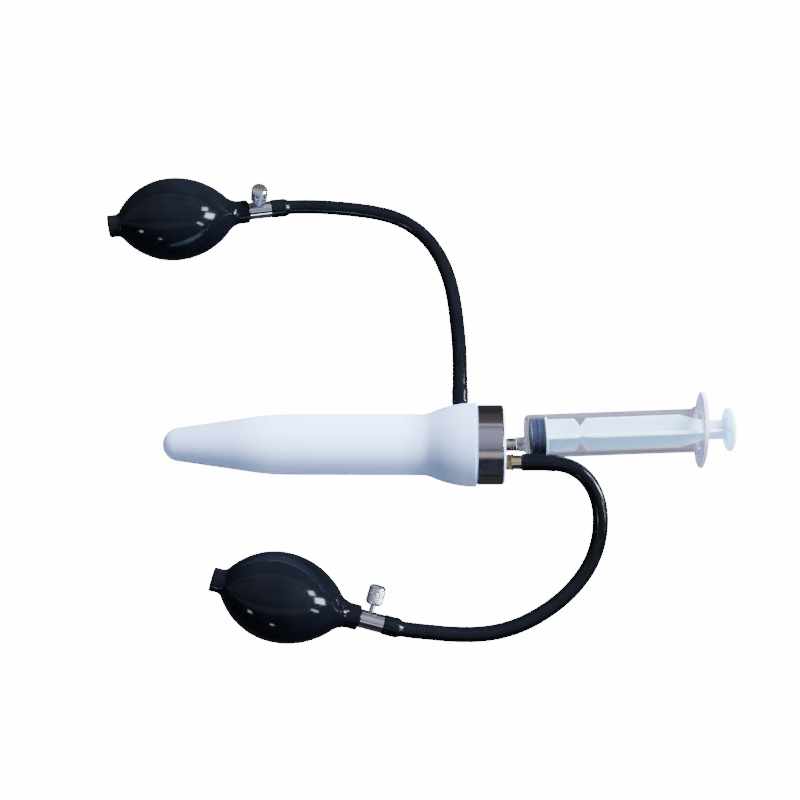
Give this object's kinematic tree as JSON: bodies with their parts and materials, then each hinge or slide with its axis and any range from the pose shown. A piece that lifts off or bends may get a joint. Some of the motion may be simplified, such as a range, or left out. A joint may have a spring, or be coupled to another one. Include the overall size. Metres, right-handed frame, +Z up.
{
  "type": "veterinary insemination instrument",
  "caption": "Soft white insemination probe with a steel clamp ring, a syringe in its rear socket, and black hoses to rubber squeeze bulbs with knurled release valves.",
  "frame": {"origin": "middle of the bottom of the object's bounding box, hoses left out, on the surface that it lies on", "axes": "+X along the probe, from its tip to the syringe's thumb rest; +Y across the table, towards the bulb of the side hose; +Z up"},
  "size_m": [0.3665, 0.2757, 0.0514],
  "materials": {
    "silicone_white": "satin, slightly translucent",
    "nylon": "matte",
    "grey_rubber": "matte",
    "plug_white": "satin",
    "polished_steel": "polished",
    "turned_steel": "turned",
    "brass": "turned",
    "clear_plastic": "clear, glossy",
    "seal_rubber": "satin",
    "rod_white": "satin, slightly translucent",
    "hose_rubber": "satin",
    "bulb_rubber": "glossy",
    "valve_chrome": "polished"
  },
  "bodies": {
    "instrument": {"sheath": "silicone_white", "core_tube": "nylon", "chamber_divider": "grey_rubber", "delivery_tube": "nylon", "tip_outlet": "plug_white", "head_plug": "plug_white", "clamp_ring": "polished_steel", "socket_grommet": "grey_rubber", "socket_bush": "turned_steel", "rear_fitting": "brass", "rear_washer": "grey_rubber", "side_fitting": "brass", "side_washer": "grey_rubber", "top_hose": "hose_rubber", "top_bulb": "bulb_rubber", "top_intake_valve": "turned_steel", "top_valve_body": "valve_chrome", "top_valve_seat": "brass", "bottom_hose": "hose_rubber", "bottom_bulb": "bulb_rubber", "bottom_intake_valve": "turned_steel", "bottom_valve_body": "valve_chrome", "bottom_valve_seat": "brass"},
    "syringe": {"syringe_barrel": "clear_plastic"},
    "plunger": {"plunger_rod": "rod_white", "plunger_seal": "seal_rubber"},
    "top_screw": {"top_release_screw": "turned_steel"},
    "top_knob": {"top_knob": "valve_chrome"},
    "top_intake": {"top_intake_ball": "turned_steel"},
    "top_check": {"top_check_ball": "turned_steel"},
    "bottom_screw": {"bottom_release_screw": "turned_steel"},
    "bottom_knob": {"bottom_knob": "valve_chrome"},
    "bottom_intake": {"bottom_intake_ball": "turned_steel"},
    "bottom_check": {"bottom_check_ball": "turned_steel"}
  },
  "joints": [
    {"name": "syringe_pull", "type": "slide", "parent": "instrument", "child": "syringe", "axis": [0.9976, 0.0384, 0.0579], "range_m": [0, 0.04]},
    {"name": "plunger_draw", "type": "slide", "parent": "syringe", "child": "plunger", "axis": [0.9976, 0.0384, 0.0579], "range_m": [0, 0.078]},
    {"name": "top_screw_rise", "type": "slide", "parent": "instrument", "child": "top_screw", "axis": [0.1677, 0.2924, 0.9415], "range_m": [0, 0.0011]},
    {"name": "top_knob_turn", "type": "hinge", "parent": "top_screw", "child": "top_knob", "pos_m": [-0.0957, 0.12471, 0.01285], "axis": [0.1677, 0.2924, 0.9415], "range_deg": [0, 540]},
    {"name": "top_intake_lift", "type": "slide", "parent": "instrument", "child": "top_intake", "axis": [0.9402, 0.2397, -0.2419], "range_m": [-0.0012, 0]},
    {"name": "top_check_lift", "type": "slide", "parent": "instrument", "child": "top_check", "axis": [0.9402, 0.2397, -0.2419], "range_m": [-0.0012, 0]},
    {"name": "bottom_screw_rise", "type": "slide", "parent": "instrument", "child": "bottom_screw", "axis": [0.2639, 0.955, 0.135], "range_m": [0, 0.0011]},
    {"name": "bottom_knob_turn", "type": "hinge", "parent": "bottom_screw", "child": "bottom_knob", "pos_m": [-0.02143, -0.12443, 0.01285], "axis": [0.2639, 0.955, 0.135], "range_deg": [0, 540]},
    {"name": "bottom_intake_lift", "type": "slide", "parent": "instrument", "child": "bottom_intake", "axis": [0.9435, -0.2265, -0.2419], "range_m": [-0.0012, 0]},
    {"name": "bottom_check_lift", "type": "slide", "parent": "instrument", "child": "bottom_check", "axis": [0.9435, -0.2265, -0.2419], "range_m": [-0.0012, 0]}
  ],
  "couplings": [
    {"joint": "top_screw_rise", "follows": "top_knob_turn", "m_per_rad": 0.00011141},
    {"joint": "bottom_screw_rise", "follows": "bottom_knob_turn", "m_per_rad": 0.00011141}
  ]
}
